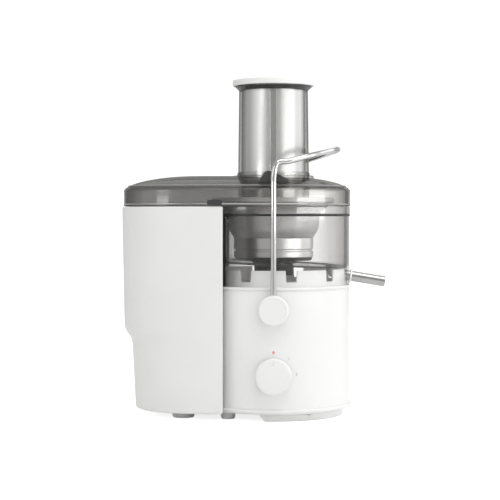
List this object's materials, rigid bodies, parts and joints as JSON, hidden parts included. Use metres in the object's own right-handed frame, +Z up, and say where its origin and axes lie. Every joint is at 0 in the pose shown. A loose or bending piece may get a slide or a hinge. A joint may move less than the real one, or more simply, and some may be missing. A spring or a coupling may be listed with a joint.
{
  "type": "centrifugal juicer",
  "caption": "Upright juicer: drum motor base, clear bowl with spinning strainer basket, domed lid with wide feed chute and pusher, side pulp bin, spout and swing-over wire locking arm.",
  "frame": {"origin": "centre of the footprint of the whole juicer, on the worktop", "axes": "+Z up, +X towards the juice spout, -Y towards the dial side, which is the front"},
  "size_m": [0.34, 0.22, 0.43],
  "materials": {
    "white_plastic": "semi-gloss moulded white",
    "smoke_plastic": "clear grey-tinted, polished",
    "silver_metal": "satin, turned",
    "polished_steel": "polished stainless",
    "strainer_mesh": "fine etched mesh",
    "grey_rubber": "matt",
    "black_rubber": "matt",
    "dark_plastic": "matt moulded",
    "copper": "enamelled wire",
    "laminated_steel": "stacked sheet, lacquered",
    "circuit_board": "solder-masked board"
  },
  "bodies": {
    "main_unit": {"motor_housing": "white_plastic", "base_plate": "white_plastic", "arc_foot": "white_plastic", "spout_collar": "white_plastic", "juice_bowl": "smoke_plastic", "lid": "smoke_plastic", "feed_chute": "smoke_plastic", "spout": "silver_metal", "bearing_lower": "polished_steel", "bearing_upper": "polished_steel", "base_screw_1": "polished_steel", "base_screw_2": "polished_steel", "base_screw_3": "polished_steel", "base_screw_4": "polished_steel", "rubber_foot_front": "grey_rubber", "rubber_foot_back": "grey_rubber", "bowl_seal": "black_rubber", "cord_inlet": "black_rubber", "shaft_seal": "black_rubber", "motor_mount_1": "black_rubber", "motor_mount_2": "black_rubber", "motor_mount_3": "black_rubber", "speed_switch": "dark_plastic", "interlock_switch": "dark_plastic", "brush_holder_front": "dark_plastic", "brush_holder_back": "dark_plastic", "pivot_bush_front": "dark_plastic", "pivot_bush_back": "dark_plastic", "field_winding_lower": "copper", "field_winding_upper": "copper", "motor_stator": "laminated_steel", "motor_bracket_bottom": "laminated_steel", "motor_bracket_top": "laminated_steel", "control_board": "circuit_board"},
    "locking_arm": {"arm_wire": "polished_steel", "arm_cap_front": "white_plastic", "arm_cap_back": "white_plastic", "pivot_pin_front": "polished_steel", "pivot_pin_back": "polished_steel"},
    "pusher": {"pusher_sleeve": "silver_metal", "pusher_foot": "white_plastic", "pusher_cap": "white_plastic"},
    "drive": {"motor_shaft": "polished_steel", "armature": "laminated_steel", "commutator": "copper", "cooling_fan": "dark_plastic", "drive_coupling": "dark_plastic", "basket_hub": "dark_plastic", "basket_base": "silver_metal", "basket_base_ring": "dark_plastic", "grater_disc": "polished_steel", "mesh_basket": "strainer_mesh", "basket_rim": "silver_metal"},
    "dial": {"speed_dial": "white_plastic", "dial_shaft": "polished_steel"},
    "pulp_bin": {"pulp_container": "white_plastic", "bin_foot_front": "grey_rubber", "bin_foot_back": "grey_rubber"}
  },
  "joints": [
    {"name": "arm_hinge", "type": "hinge", "parent": "main_unit", "child": "locking_arm", "pos_m": [0.025, 0, 0.138], "axis": [0, 1, 0], "range_deg": [0, 100]},
    {"name": "pusher_slide", "type": "slide", "parent": "main_unit", "child": "pusher", "axis": [0, 0, 1], "range_m": [0, 0.14]},
    {"name": "basket_spin", "type": "hinge", "parent": "main_unit", "child": "drive", "pos_m": [0.025, 0, 0], "axis": [0, 0, 1], "continuous": true},
    {"name": "dial_turn", "type": "hinge", "parent": "main_unit", "child": "dial", "pos_m": [0.025, 0, 0.057], "axis": [0, 1, 0], "range_deg": [0, 90]},
    {"name": "bin_slide", "type": "slide", "parent": "main_unit", "child": "pulp_bin", "axis": [-1, 0, 0], "range_m": [0, 0.15]}
  ]
}
